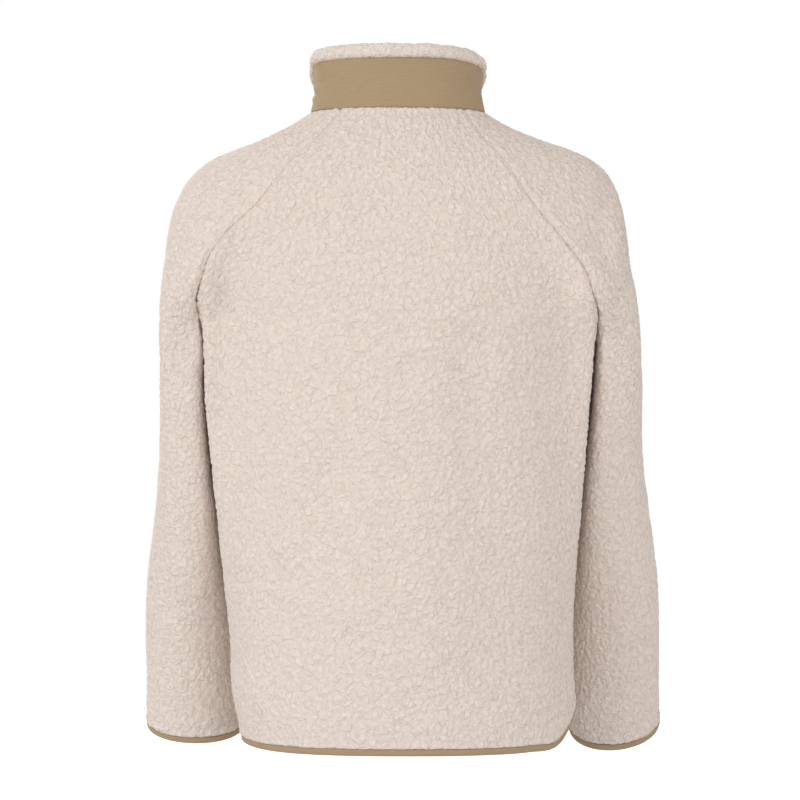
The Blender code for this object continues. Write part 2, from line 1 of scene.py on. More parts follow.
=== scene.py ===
"""Pile fleece jacket seen from the back: its cloth, bindings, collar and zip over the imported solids.

Sizes are in millimetres until a mesh is made. The neckline's middle is the origin, +Z is up, the front
faces -Y and the jacket's left is +X. Angles go round the body: 0 the left side, 90 the back, 180 the right.
"""

import bmesh
import bpy
import numpy as np
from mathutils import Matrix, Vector, noise


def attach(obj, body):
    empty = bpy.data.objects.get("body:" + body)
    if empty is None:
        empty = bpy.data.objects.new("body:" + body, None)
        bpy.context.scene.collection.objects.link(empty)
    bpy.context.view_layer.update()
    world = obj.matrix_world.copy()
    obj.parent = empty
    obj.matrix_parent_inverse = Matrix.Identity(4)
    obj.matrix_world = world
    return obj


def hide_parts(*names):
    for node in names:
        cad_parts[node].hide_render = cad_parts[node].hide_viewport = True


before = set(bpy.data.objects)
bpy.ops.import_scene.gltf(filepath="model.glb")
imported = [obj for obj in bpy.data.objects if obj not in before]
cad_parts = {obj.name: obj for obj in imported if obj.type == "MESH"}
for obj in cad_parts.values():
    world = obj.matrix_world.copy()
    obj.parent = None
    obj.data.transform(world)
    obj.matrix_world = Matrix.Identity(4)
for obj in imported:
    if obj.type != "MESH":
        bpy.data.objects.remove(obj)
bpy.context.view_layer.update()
bpy.ops.object.select_all(action="DESELECT")


# ---------------------------------------------------------------- back panel
# The back is one piece of looped pile fleece from neck to hem, with raglan seams at the sleeves.
# Its pile stands in rounded clumps on a smooth knitted back. The hem is gripped by a binding.

MM = 0.001
FLEECE = 5.0
ROUNDNESS = 2 / 2.25  # exponent of the body's oval sections, 1 for an ellipse
HEM_HEIGHT = -628.0
UNDERARM_LEFT = -198.0
UNDERARM_RIGHT = -212.0
NECK_DROP = 42.0
ZIP_GAP = 6.0  # from the middle of the front to the fleece's edge
CLUMP = 6.6  # size of a clump of pile
CLUMP_DEPTH = 1.3
noise.seed_set(7)  # noise_vector is seeded by the clock otherwise, and the clumps would differ in each run
SEAM_DEPTH = 1.3  # how far a seam pulls the pile in
BINDING_TOP = 6.9  # where the pile starts above a bound edge
HEM_ROWS = 224  # rows of faces from hem to underarm
RAGLAN_ROWS = 112  # and from underarm to neck


def table(columns, *rows):
    """Rows of sizes under named columns."""
    return dict(zip(columns.split(), np.array(rows, float).T))


BODY = table(
    "height half_width centre_x back_depth front_depth",
    (-640, 166.0, -11.5, 124.0, 131.0),
    (-612, 168.0, -10.5, 123.5, 131.0),
    (-578, 170.4, -5.6, 123.0, 131.0),
    (-526, 170.6, -3.4, 122.5, 131.0),
    (-466, 174.0, -1.4, 122.5, 131.5),
    (-406, 178.5, -0.8, 123.0, 132.5),
    (-346, 183.0, 0.0, 124.5, 134.5),
    (-286, 188.0, 0.3, 126.0, 136.0),
    (-216, 192.5, -1.5, 126.5, 136.0),
    (-160, 206.0, -1.0, 122.5, 128.0),
    (-100, 212.0, 0.0, 112.0, 110.0),
    (-50, 169.0, 0.0, 96.0, 82.0),
    (-20, 113.0, 0.0, 81.0, 69.0),
    (0, 87.0, 0.0, 68.0, 60.0),
)
HEM = table(
    "angle rise",
    (-90, 0.0),
    (-40, 0.0),
    (0, 3.0),
    (40, 0.0),
    (90, 0.0),
    (113, 0.0),
    (131, 0.5),
    (149, 4.0),
    (161, 20.0),
    (180, 36.0),
    (198, 27.0),
    (215, 11.0),
    (235, 2.0),
    (270, 0.0),
)
RAGLAN = table(
    "share back_left back_right front",
    (0.00, 0.0, 0.0, 0.0),
    (0.12, 18.0, 19.5, 18.0),
    (0.25, 28.8, 30.5, 29.0),
    (0.37, 40.1, 42.3, 40.0),
    (0.50, 50.4, 51.5, 49.6),
    (0.65, 54.8, 55.6, 52.8),
    (0.80, 55.0, 54.6, 51.2),
    (1.00, 52.0, 44.0, 45.0),
)
# How the cloth comes backwards along the low part of a back seam: a share of the way up the seam, or
# below the underarm in tenths of a metre, then how far, and how wide.
ARMHOLE_FILL = np.array([
    (-3.2, 0.0, 46.0),
    (-2.4, 16.0, 46.0),
    (-1.6, 32.0, 46.0),
    (-0.9, 42.0, 50.0),
    (-0.3, 46.0, 50.0),
    (0.0, 46.0, 50.0),
    (0.12, 34.0, 36.0),
    (0.25, 20.0, 30.0),
    (0.37, 9.0, 30.0),
    (0.5, 2.0, 30.0),
    (0.6, 0.0, 30.0),
])
FILL_AGAIN = 0.42  # a second, narrower push as a part of the first
# Where a sleeve folds sharply at its front underarm, and the part of its wall's thickness that is kept.
FOLD_OUT = 207.0
FOLD_HEIGHT = -187.0
FOLD_REACH = 46.0
FOLD_WALL = 0.15
# Soft troughs in the cloth: lines from top to bottom on the back (side 1) and the front (side -1).
FOLDS = table(
    "side x_top z_top x_bottom z_bottom width_top width_bottom depth",
    (1, -72, -235, -90, -540, 24, 46, 5.0),
    (1, 66, -360, 114, -545, 26, 38, 5.0),
    (1, 160, -235, 168, -300, 16, 22, 2.5),
    (1, -203, -80, -204, -150, 9, 12, 2.5),
    (-1, 96, -210, 88, -500, 22, 36, 4.5),
    (-1, -118, -330, -100, -545, 24, 36, 4.5),
)


def curve(knots, values, at):
    """A smooth curve through numbers or arrays at knots, read at places along it."""
    slopes = np.gradient(values, knots, axis=0)
    at = np.asarray(at, float)
    row = np.clip(np.searchsorted(knots, at) - 1, 0, len(knots) - 2)
    span = knots[row + 1] - knots[row]
    t = np.clip((at - knots[row]) / span, 0, 1)
    if values.ndim > 1:
        span, t = (number.reshape(-1, *[1] * (values.ndim - 1)) for number in (span, t))
    rise = (1 - t) ** 2 * t * slopes[row] - (1 - t) * t**2 * slopes[row + 1]
    return (1 - t) ** 2 * (1 + 2 * t) * values[row] + t**2 * (3 - 2 * t) * values[row + 1] + span * rise


def read(sizes, column, at):
    """A smooth curve through one column of a table, read at places along its first column."""
    return curve(next(iter(sizes.values())), sizes[column], at)


def unit(vectors):
    return vectors / np.maximum(np.linalg.norm(vectors, axis=-1, keepdims=True), 1e-9)


def body_point(angle, height):
    """The body's outer face at an angle round it and a height."""
    angle, height = np.broadcast_arrays(np.asarray(angle, float), np.asarray(height, float))
    cosine, sine = np.cos(np.radians(angle)), np.sin(np.radians(angle))
    across, deep = np.sign(cosine) * np.abs(cosine) ** ROUNDNESS, np.sign(sine) * np.abs(sine) ** ROUNDNESS
    depth = np.where(sine >= 0, read(BODY, "back_depth", height), read(BODY, "front_depth", height))
    x = read(BODY, "centre_x", height) + read(BODY, "half_width", height) * across
    return np.stack([x, depth * deep, height], axis=-1)


def neck_height(angle):
    return -NECK_DROP * np.minimum(np.sin(np.radians(angle)), 0) ** 2


def seam(side, face, share):
    """Angle and height of a raglan seam at a share of its way up: side 1 left, face 1 back, else -1."""
    column = "front" if face < 0 else ("back_left" if side > 0 else "back_right")
    turned = read(RAGLAN, column, share)
    angle = face * turned if side > 0 else 180 - face * turned
    low = UNDERARM_LEFT if side > 0 else UNDERARM_RIGHT
    top = neck_height(face * read(RAGLAN, column, 1.0))
    return angle, low + (top - low) * share


def lower_rows(angles):
    """Rows from the hem to the underarm at these angles."""
    hem = HEM_HEIGHT + read(HEM, "rise", angles) + BINDING_TOP
    top = UNDERARM_LEFT + (UNDERARM_RIGHT - UNDERARM_LEFT) * (1 - np.cos(np.radians(angles))) / 2
    return [body_point(angles, hem + (top - hem) * share) for share in np.linspace(0, 1, HEM_ROWS + 1)]


def grid_normals(grid, closed_rows):
    """Outward direction at each point of a grid. A closed row's first and last points are one point."""
    across = np.gradient(grid, axis=1)
    if closed_rows:
        round_join = (grid[:closed_rows, 1] - grid[:closed_rows, -2]) / 2
        across[:closed_rows, 0] = across[:closed_rows, -1] = round_join
    return unit(np.cross(across, np.gradient(grid, axis=0)))


def press_folds(grid, normals):
    """How far the troughs of the FOLDS table press each point in."""
    pressed = np.zeros(grid.shape[:2])
    for side, x_top, z_top, x_bottom, z_bottom, width_top, width_bottom, depth in zip(*FOLDS.values()):
        start, run = np.array([x_top, z_top]), np.array([x_bottom - x_top, z_bottom - z_top])
        flat = grid[..., [0, 2]] - start
        along = np.clip(flat @ run / (run @ run), 0, 1)
        away = np.linalg.norm(flat - along[..., None] * run, axis=-1)
        width = width_top + (width_bottom - width_top) * along
        pressed += depth * np.clip(side * normals[..., 1] * 2, 0, 1) * np.exp(-((away / width) ** 2))
    return pressed


def fill_armholes(grid, closing):
    """Brings the cloth at the low ends of the back seams backwards, so that the arms hang close to the
    back. Below the underarm a sleeve also closes up to the body, by closing."""
    filled = grid.copy()
    height, amount, reach = ARMHOLE_FILL.T
    steps = np.linspace(height[0], height[-1], 96)
    amounts, reaches = np.interp(steps, height, amount), np.interp(steps, height, reach)
    for side, low in ((1, UNDERARM_LEFT), (-1, UNDERARM_RIGHT)):
        places = [seam(side, 1, share) if share > 0 else (90 - 90 * side, low + 100 * share) for share in steps]
        line = np.array([body_point(*spot) for spot in places])
        near = grid[..., 0] * side > 100
        for part, narrowed in ((1.0, 1.0), (FILL_AGAIN, 0.6)):
            away = np.linalg.norm(filled[near][:, None] - line, axis=-1)
            closest = away.min(axis=1)
            weight = np.exp(-(away - closest[:, None]) / 5)
            pushed, width = ((weight * size).sum(axis=1) / weight.sum(axis=1)
                             for size in (amounts * part, reaches * narrowed))
            filled[near, 1] += pushed * np.exp(-((closest / width) ** 2))
            line[:, 1] += amounts * part
        nearest = (weight * steps).sum(axis=1) / weight.sum(axis=1)
        closes = np.interp(nearest, [-3.2, -2.4, -0.4, 0.0], [0, 1, 1, 0])
        filled[near, 0] -= side * closing * closes * np.exp(-((closest / 26) ** 2))
    return filled


def pile(grid):
    """How high the pile stands at each point, 0 in the creases between clumps to 1 on their tops."""
    heights = []
    for point in grid.reshape(-1, 3).tolist():
        place = Vector(point)
        near = noise.voronoi(place / CLUMP + 0.25 * noise.noise_vector(place / 5))[0]
        heights.append(near[1] - near[0])
    return np.clip(np.array(heights).reshape(grid.shape[:2]) / 0.32, 0, 1) ** 0.7


def waves(grid, length):
    """Soft unevenness between -1 and 1."""
    found = [noise.noise(Vector(point) / length) for point in grid.reshape(-1, 3).tolist()]
    return np.array(found).reshape(grid.shape[:2])


def edge_distances(grid, closed_rows):
    """How far each point is from the seams at the sides of a grid, and from its first and last rows."""
    def steps(axis, from_end):
        lengths = np.linalg.norm(np.diff(grid, axis=axis), axis=-1)
        if from_end:
            lengths = np.flip(lengths, axis)
        total = np.concatenate([np.zeros_like(lengths.take([0], axis)), np.cumsum(lengths, axis)], axis)
        return np.flip(total, axis) if from_end else total

    to_seam = np.minimum(steps(1, False), steps(1, True))
    to_seam[:max(closed_rows - 1, 0)] = 1000
    return to_seam, np.minimum(steps(0, False), steps(0, True))


def link(name, mesh):
    piece = bpy.data.objects.new(name, mesh)
    bpy.context.scene.collection.objects.link(piece)
    return piece


def cloth(name, grid, lift, thickness, masks, closed_rows=0, every=4):
    """A cloth piece from a grid of points on its outer face, raised by lift. Its inner face has every fourth
    point, and a rim closes each open edge."""
    rows, columns = grid.shape[:2]
    normals = grid_normals(grid, closed_rows)
    outer = np.arange(rows * columns).reshape(rows, columns)
    outer[:closed_rows, -1] = outer[:closed_rows, 0]
    inner_rows, inner_columns = len(range(0, rows, every)), len(range(0, columns, every))
    inner = rows * columns + np.arange(inner_rows * inner_columns).reshape(inner_rows, inner_columns)
    closed_inner = (closed_rows - 1) // every + 1 if closed_rows else 0
    inner[:closed_inner, -1] = inner[:closed_inner, 0]
    skin = (grid + normals * lift[..., None]).reshape(-1, 3)
    lining = (grid - normals * thickness[..., None])[::every, ::every].reshape(-1, 3)

    outside = np.stack([outer[:-1, :-1], outer[:-1, 1:], outer[1:, 1:], outer[1:, :-1]], -1)
    inside_out = np.stack([inner[:-1, :-1], inner[1:, :-1], inner[1:, 1:], inner[:-1, 1:]], -1)
    faces = outside.reshape(-1, 4).tolist() + inside_out.reshape(-1, 4).tolist()
    for j in range(inner_columns - 1):
        span = slice(j * every, (j + 1) * every + 1)
        faces.append([*outer[0, span][::-1], inner[0, j], inner[0, j + 1]])
        faces.append([*outer[-1, span], inner[-1, j + 1], inner[-1, j]])
    for i in range(max(closed_inner - 1, 0), inner_rows - 1):
        span = slice(i * every, (i + 1) * every + 1)
        faces.append([*outer[span, -1][::-1], inner[i, -1], inner[i + 1, -1]])
        faces.append([*outer[span, 0], inner[i + 1, 0], inner[i, 0]])

    used = np.unique(np.concatenate([outer.ravel(), inner.ravel()]))
    renumber = np.zeros(rows * columns + inner_rows * inner_columns, int)
    renumber[used] = np.arange(len(used))
    points = np.concatenate([skin, lining])[used] * MM
    mesh = bpy.data.meshes.new(name)
    mesh.from_pydata(points.tolist(), [], [renumber[face].tolist() for face in faces])
    for key, (on_skin, on_lining) in masks.items():
        values = np.concatenate([on_skin.ravel(), np.full(inner_rows * inner_columns, on_lining)])[used]
        mesh.attributes.new(key, "FLOAT", "POINT").data.foreach_set("value", values.astype(np.float32))
    mesh.shade_smooth()
    return link(name, mesh)


def worn(piece, node_name, slot, **cut):
    """Fixes a piece of cloth to the jacket in place of its plain solid."""
    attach(piece, "jacket")
    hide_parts(node_name)


def fleece_piece(name, grid, flat, area, closed_rows=0, closing=0.0):
    """One panel of fleece, with its clumps of pile, its folds, its pulled-in seams, its puffed edges and shade
    painted into its creases and seams.
    """
    grid = fill_armholes(grid, closing)
    normals = grid_normals(grid, closed_rows)
    shaped = grid - normals * press_folds(grid, normals)[..., None]
    height = pile(shaped)
    to_seam, to_edge = edge_distances(shaped, closed_rows)
    tuck, edge = np.exp(-((to_seam / 2.2) ** 2)), np.exp(-((to_edge / 4) ** 2))
    neck = np.exp(-((np.linalg.norm(shaped - shaped[-1].mean(axis=0), axis=-1) / 150) ** 4))
    lift = (height - 0.75) * CLUMP_DEPTH * (1 - 0.5 * neck * edge) + 0.7 * waves(shaped, 26)
    lift += edge * (0.9 - 0.6 * neck) + 0.7 * np.exp(-(((to_seam - 5.5) / 3) ** 2))
    upwards = np.full(height.shape, 40.0)
    inwards = unit(np.stack([shaped[..., 0] * 0.3, shaped[..., 1], upwards], axis=-1))
    drawn = np.exp(-(((shaped[..., 2] + 112) / 38) ** 2))
    shaped -= inwards * (SEAM_DEPTH * (0.6 + 0.4 * drawn) * tuck)[..., None]
    to_fold = np.hypot(np.abs(shaped[..., 0]) - FOLD_OUT, shaped[..., 2] - FOLD_HEIGHT)
    folded = np.exp(-((to_fold / FOLD_REACH) ** 4)) * (closing > 0)
    wall = FLEECE * (1 - (1 - FOLD_WALL) * folded)
    # Painted shade: the "pile" mask is low in the creases between clumps and along a thin line at each seam,
    # most where the seam is drawn in.
    shade = (0.2 + 0.8 * height) * (1 - (0.2 + 0.6 * drawn) * np.exp(-((to_seam / 1.2) ** 2)))
    masks = {"pile": (shade, 0.6), "inside": (height * 0, 1.0)}
    piece = cloth(name + "_cloth", shaped, lift * (1 - tuck), wall, masks, closed_rows)
    piece.data.materials.append(fleece)
    worn(piece, name, "fleece", flat=flat, area=area)


def new_material(name, colour, roughness):
    """A material and its nodes, with the shader's plain values set."""
    made = bpy.data.materials.new(name)
    made.use_nodes = True
    shader = made.node_tree.nodes["Principled BSDF"]
    shader.inputs["Base Color"].default_value = (*colour, 1)
    shader.inputs["Roughness"].default_value = roughness
    return made, shader


def node(made, kind, **settings):
    """Adds a shader node: settings that are sockets are set by name, and the others are its own."""
    added = made.node_tree.nodes.new(kind)
    for key, value in settings.items():
        if key in added.inputs:
            added.inputs[key].default_value = value
        else:
            setattr(added, key, value)
    return added


def join(made, output, socket):
    made.node_tree.links.new(output, socket)


fleece, fleece_shader = new_material("Pile fleece", (0.80, 0.70, 0.62), 0.94)
fleece_shader.inputs["Sheen Weight"].default_value = 0.2
fleece_shader.inputs["Sheen Roughness"].default_value = 0.6
fleece_shader.inputs["Specular IOR Level"].default_value = 0.15
place = node(fleece, "ShaderNodeTexCoord").outputs["Object"]
# Painted shade: this ramp makes the fleece dark brown in the creases between clumps and along the seams, and
# lighter towards the clump tops.
painted_shade_mask = node(fleece, "ShaderNodeAttribute", attribute_name="pile")
crease_shade_colour = node(fleece, "ShaderNodeValToRGB")
for at, colour in ((0.0, (0.34, 0.24, 0.17)), (0.2, (0.80, 0.70, 0.63)), (0.5, (0.865, 0.78, 0.72))):
    stop = crease_shade_colour.color_ramp.elements.new(at) if at else crease_shade_colour.color_ramp.elements[0]
    stop.color = (*colour, 1)
crease_shade_colour.color_ramp.elements[-1].color = (0.885, 0.805, 0.75, 1)
join(fleece, painted_shade_mask.outputs["Fac"], crease_shade_colour.inputs["Fac"])
bent_place = node(fleece, "ShaderNodeTexNoise", Scale=120.0, Detail=2.0)
join(fleece, place, bent_place.inputs["Vector"])
curl_place = node(fleece, "ShaderNodeMix", data_type="VECTOR")
curl_place.inputs["Factor"].default_value = 0.012
join(fleece, place, curl_place.inputs["A"])
join(fleece, bent_place.outputs["Color"], curl_place.inputs["B"])
curls = node(fleece, "ShaderNodeTexVoronoi", Scale=205.0)
join(fleece, curl_place.outputs["Result"], curls.inputs["Vector"])
curl_round = node(fleece, "ShaderNodeMapRange", interpolation_type="SMOOTHSTEP")
curl_round.inputs["From Min"].default_value = 0.8
curl_round.inputs["From Max"].default_value = 0.15
join(fleece, curls.outputs["Distance"], curl_round.inputs["Value"])
patches = node(fleece, "ShaderNodeTexNoise", Scale=34.0, Detail=3.0)
join(fleece, place, patches.inputs["Vector"])
patch_colour = node(fleece, "ShaderNodeValToRGB")
patch_colour.color_ramp.elements[0].position = 0.35
patch_colour.color_ramp.elements[0].color = (1.0, 0.985, 0.965, 1)
patch_colour.color_ramp.elements[1].position = 0.68
patch_colour.color_ramp.elements[1].color = (0.985, 0.965, 0.965, 1)
join(fleece, patches.outputs["Fac"], patch_colour.inputs["Fac"])
# Painted shade: each small curl is a little darker towards its border with the next, where the creases are.
curl_crease_shade = node(fleece, "ShaderNodeValToRGB")
curl_crease_shade.color_ramp.elements[0].color = (0.945, 0.92, 0.90, 1)
curl_crease_shade.color_ramp.elements[1].position = 0.55
join(fleece, curl_round.outputs["Result"], curl_crease_shade.inputs["Fac"])
# The painted crease shade times the random patches of tint.
shade_and_tint = node(fleece, "ShaderNodeMix", data_type="RGBA", blend_type="MULTIPLY")
shade_and_tint.inputs["Factor"].default_value = 1.0
join(fleece, crease_shade_colour.outputs["Color"], shade_and_tint.inputs["A"])
join(fleece, patch_colour.outputs["Color"], shade_and_tint.inputs["B"])
curl_shaded = node(fleece, "ShaderNodeMix", data_type="RGBA", blend_type="MULTIPLY")
curl_shaded.inputs["Factor"].default_value = 1.0
join(fleece, shade_and_tint.outputs["Result"], curl_shaded.inputs["A"])
join(fleece, curl_crease_shade.outputs["Color"], curl_shaded.inputs["B"])
inside = node(fleece, "ShaderNodeAttribute", attribute_name="inside")
backing = node(fleece, "ShaderNodeMix", data_type="RGBA")
backing.inputs["B"].default_value = (0.72, 0.64, 0.56, 1)
join(fleece, inside.outputs["Fac"], backing.inputs["Factor"])
join(fleece, curl_shaded.outputs["Result"], backing.inputs["A"])
join(fleece, backing.outputs["Result"], fleece_shader.inputs["Base Color"])
fibres = node(fleece, "ShaderNodeTexNoise", Scale=1500.0, Detail=3.0)
join(fleece, place, fibres.inputs["Vector"])
curl_height = node(fleece, "ShaderNodeMath", operation="MULTIPLY_ADD")
curl_height.inputs[1].default_value = 2.2
join(fleece, curl_round.outputs["Result"], curl_height.inputs[0])
join(fleece, fibres.outputs["Fac"], curl_height.inputs[2])
stitches = node(fleece, "ShaderNodeTexWave", bands_direction="Z", Scale=200.0, Distortion=1.5)
join(fleece, place, stitches.inputs["Vector"])
face_height = node(fleece, "ShaderNodeMix", data_type="FLOAT")
join(fleece, inside.outputs["Fac"], face_height.inputs["Factor"])
join(fleece, curl_height.outputs["Value"], face_height.inputs["A"])
join(fleece, stitches.outputs["Fac"], face_height.inputs["B"])
relief = node(fleece, "ShaderNodeBump", Strength=0.8, Distance=0.0007)
join(fleece, face_height.outputs["Result"], relief.inputs["Height"])
join(fleece, relief.outputs["Normal"], fleece_shader.inputs["Normal"])


back_rows = lower_rows(np.linspace(0, 180, 269))
for share in np.linspace(0, 1, RAGLAN_ROWS + 1)[1:]:
    left, left_height = seam(1, 1, share)
    right, right_height = seam(-1, 1, share)
    across = np.linspace(0, 1, 269)
    row_height = left_height + (right_height - left_height) * across
    back_rows.append(body_point(left + (right - left) * across, row_height))
fleece_piece("back_panel", np.array(back_rows), flat=(0.52, 0.66), area=0.29)


# ---------------------------------------------------------------- fronts
# The two fronts are the same fleece, from the side seams to the zip, and lower at the neck.
# The left one runs from the zip to the side, and the right one from the side to the zip.


def front_rows(side):
    across = np.linspace(0, 1, 133)

    def angles(outer, edge_height):
        gap = ZIP_GAP / read(BODY, "half_width", edge_height)
        edge = 90 - np.degrees(np.arcsin(gap ** (1 / ROUNDNESS)))
        return -edge + (edge - outer) * across if side > 0 else 180 + outer + (edge - outer) * across

    heights = np.array([row[0 if side > 0 else -1, 2] for row in lower_rows(angles(0.0, HEM_HEIGHT))])
    hem_first = lower_rows(angles(0.0, HEM_HEIGHT))
    rows = [body_point(angles(0.0, z), row[:, 2]) for row, z in zip(hem_first, heights)]
    low = seam(side, -1, 0.0)[1]
    step = rows[-1][:, 2] - low - (heights[-1] - low) * np.sin(np.radians(angles(0.0, heights[-1]))) ** 2
    for share in np.linspace(0, 1, RAGLAN_ROWS + 1)[1:]:
        outer = read(RAGLAN, "front", share)
        seam_height = seam(side, -1, share)[1]
        middle = heights[-1] + (-NECK_DROP - heights[-1]) * share
        row = angles(outer, middle)
        fall = np.sin(np.radians(row)) ** 2 - np.sin(np.radians(outer)) ** 2
        fall /= np.cos(np.radians(outer)) ** 2
        rows.append(body_point(row, seam_height + (middle - seam_height) * fall + step * (1 - share)))
    return np.array(rows)


fleece_piece("front_left", front_rows(1), flat=(0.27, 0.62), area=0.145)
fleece_piece("front_right", front_rows(-1), flat=(0.27, 0.62), area=0.145)


# ---------------------------------------------------------------- sleeves
# Each raglan sleeve is one piece of fleece up to the neck, closed along the underarm, hanging forward.
# It is narrower at the cuff, where a binding holds it.

SLEEVE_ROWS = 228  # rows of faces from cuff to underarm
SLEEVE_COLUMNS = 212
SHOULDER = table(
    "share ridge_left ridge_right ridge_y ridge_height ridge_reach seam_reach follow",
    (0.00, 226.0, 225.0, -8.0, -150.0, 104.0, 104.0, 0.0),
    (0.12, 225.0, 223.5, -8.0, -126.0, 94.0, 60.0, 0.15),
    (0.25, 221.5, 221.0, -7.0, -101.0, 80.0, 42.0, 0.5),
    (0.37, 215.5, 218.0, -6.0, -80.0, 68.0, 36.0, 0.8),
    (0.50, 204.0, 209.0, -5.0, -61.0, 58.0, 36.0, 1.0),
    (0.65, 180.0, 189.0, -4.0, -44.0, 48.0, 36.0, 1.0),
    (0.80, 144.0, 151.0, -2.0, -30.0, 42.0, 34.0, 1.0),
    (0.90, 113.0, 112.0, -1.0, -17.5, 34.0, 28.0, 1.0),
    (1.00, 87.0, 87.0, 0.0, 0.0, 28.0, 24.0, 1.0),
)
SLEEVE = table(
    "height inner_left outer_left inner_right outer_right middle_y half_depth twist drop_left drop_right"
    " lift_left lift_right",
    (-620, 158, 259, 176, 270, -95, 38, 0, 0.50, 0.85, 2, 8),
    (-570, 159, 258, 173, 268, -86, 42, 2, 0.36, 0.52, 1, 6),
    (-526, 161, 258, 170, 267, -78, 47, 4, 0.24, 0.30, 0, 4),
    (-466, 166, 254, 170, 263, -65, 54, 8, 0.12, 0.14, 3, 4),
    (-406, 172, 243, 173, 252, -55, 61, 12, 0.05, 0.05, 8, 8),
    (-346, 180, 232, 180, 239, -45, 68, 15, 0.0, 0.0, 18, 18),
    (-286, 188, 227, 189, 234, -34, 75, 15, 0.0, 0.0, 30, 30),
    (-226, 194, 226, 197, 229, -17, 79, 13, 0.0, 0.0, 42, 42),
    (-174, 193, 226, 195, 225, 0, 78, 9, 0.0, 0.0, 48, 58),
)


def bow(start, start_pull, end, end_pull, count):
    """Points of a cubic curve that leaves start along start_pull and reaches end from end_pull."""
    t = np.linspace(0, 1, count)[:, None]
    a, b = start + start_pull, end + end_pull
    return (1 - t) ** 3 * start + 3 * (1 - t) ** 2 * t * a + 3 * (1 - t) * t**2 * b + t**3 * end


def sleeve_ring(side, height):
    """One oval section below the underarm, from the underarm line round and back to it."""
    name = "left" if side > 0 else "right"
    lift = read(SLEEVE, "lift_" + name, height) / 2
    middle = read(SLEEVE, "middle_y", height)
    inner = np.array([side * read(SLEEVE, "inner_" + name, height), middle, height - lift])
    outer = np.array([side * read(SLEEVE, "outer_" + name, height), middle, height + lift])
    twist = np.radians(read(SLEEVE, "twist", height))
    back = unit(np.array([side * np.sin(twist), np.cos(twist), -read(SLEEVE, "drop_" + name, height)]))
    pull = back * read(SLEEVE, "half_depth", height) * 4 / 3
    half = SLEEVE_COLUMNS // 2 + 1
    first = bow(inner, -side * pull, outer, -side * pull, half)
    return np.concatenate([first, bow(outer, side * pull, inner, side * pull, half)[1:]])


def seam_frame(side, face, share):
    """A raglan seam's point, and the direction in which the body's face would go on past it."""
    below = body_point(*seam(side, face, max(share - 0.01, 0)))
    above = body_point(*seam(side, face, min(share + 0.01, 1)))
    angle, height = seam(side, face, share)
    around = body_point(angle + 1, height) - body_point(angle - 1, height)
    upwards = body_point(angle, height + 1) - body_point(angle, height - 1)
    onward = unit(np.cross(unit(np.cross(around, upwards)), unit(above - below)))
    return body_point(angle, height), onward * (1 if onward[0] * side > 0 else -1)


def shoulder_row(side, share):
    """One row above the underarm, from seam to seam over the shoulder."""
    size = {key: float(read(SHOULDER, key, share)) for key in SHOULDER}
    ridge_out = size["ridge_left" if side > 0 else "ridge_right"]
    ridge = np.array([side * ridge_out, size["ridge_y"], size["ridge_height"]])
    twist = np.radians(read(SLEEVE, "twist", SLEEVE["height"][-1])) * (1 - share)
    back = np.array([side * np.sin(twist), np.cos(twist), 0])
    halves = []
    for face in (1, -1):
        start, onward = seam_frame(side, face, share)
        away = unit(np.array([side * 0.12, face, 0]))
        leave = unit(away * (1 - size["follow"]) + onward * size["follow"]) * size["seam_reach"]
        halves.append(bow(start, leave, ridge, face * back * size["ridge_reach"], SLEEVE_COLUMNS // 2 + 1))
    to_back, to_front = halves
    first, second = (to_front, to_back) if side > 0 else (to_back, to_front)
    return np.concatenate([first, second[::-1][1:]])


def sleeve_grid(side):
    """Rings from the cuff to the underarm, then rows over the shoulder that close on the neckline."""
    ends = [seam(side, face, 1.0)[0] for face in (-side, side)]
    neck_angles = np.linspace(*ends, SLEEVE_COLUMNS + 1)
    cuff = SLEEVE["height"][0]
    heights = [cuff + BINDING_TOP, *np.linspace(cuff + 11.0, SLEEVE["height"][-1], 15)[:-1]]
    rows = [sleeve_ring(side, height) for height in heights]
    rows += [shoulder_row(side, share) for share in np.linspace(0, 1, 12)[:-1]]
    rows.append(body_point(neck_angles, neck_height(neck_angles)))
    rows[-2][1:-1] = (rows[-2] / 2 + (rows[-1] + rows[-3]) / 4)[1:-1]
    rows = np.array(rows)
    apart = np.linalg.norm(np.diff(rows, axis=0), axis=-1).mean(axis=1)
    knots = np.concatenate([[0], np.cumsum(apart)])
    underarm = knots[len(heights)]
    at = [*np.linspace(0, underarm, SLEEVE_ROWS + 1), *np.linspace(underarm, knots[-1], RAGLAN_ROWS + 1)[1:]]
    grid = curve(knots, rows, at)
    shares = np.interp(at[SLEEVE_ROWS:], knots[len(heights):], np.linspace(0, 1, len(knots) - len(heights)))
    fades = np.exp(-((np.arange(SLEEVE_COLUMNS + 1) / 12) ** 2))[:, None]
    for row, share in zip(grid[SLEEVE_ROWS:], shares):
        row += (body_point(*seam(side, -side, share)) - row[0]) * fades
        row += (body_point(*seam(side, side, share)) - row[-1]) * fades[::-1]
    return grid


for side, name in ((1, "sleeve_left"), (-1, "sleeve_right")):
    fleece_piece(name, sleeve_grid(side), flat=(0.40, 0.72), area=0.185, closed_rows=SLEEVE_ROWS + 1,
                 closing=7.0)


# ---------------------------------------------------------------- hem and cuff bindings
# A strip of plain tan weave is folded over each bound edge and sewn through, a finger's width at most.
# The hem's runs from one zip edge round the back to the other, and each cuff's is a closed ring.

BOUND_EDGE = 1.3  # the fleece's own edge above the fold
# Section of the folded strip: outwards from the middle of the fleece, up from the fold.
BINDING_SECTION = (
    (2.3, 6.6), (2.6, 6.1), (2.7, 3.4), (2.6, 1.7), (2.2, 0.7), (1.4, 0.15), (0.0, 0.0),
    (-1.4, 0.15), (-2.2, 0.7), (-2.6, 1.7), (-2.7, 3.4), (-2.6, 6.1), (-2.3, 6.6), (-1.6, 6.4),
    (-1.5, 4.0), (-1.5, 1.5), (-1.0, 1.0), (1.0, 1.0), (1.5, 1.5), (1.5, 4.0), (1.6, 6.4),
)


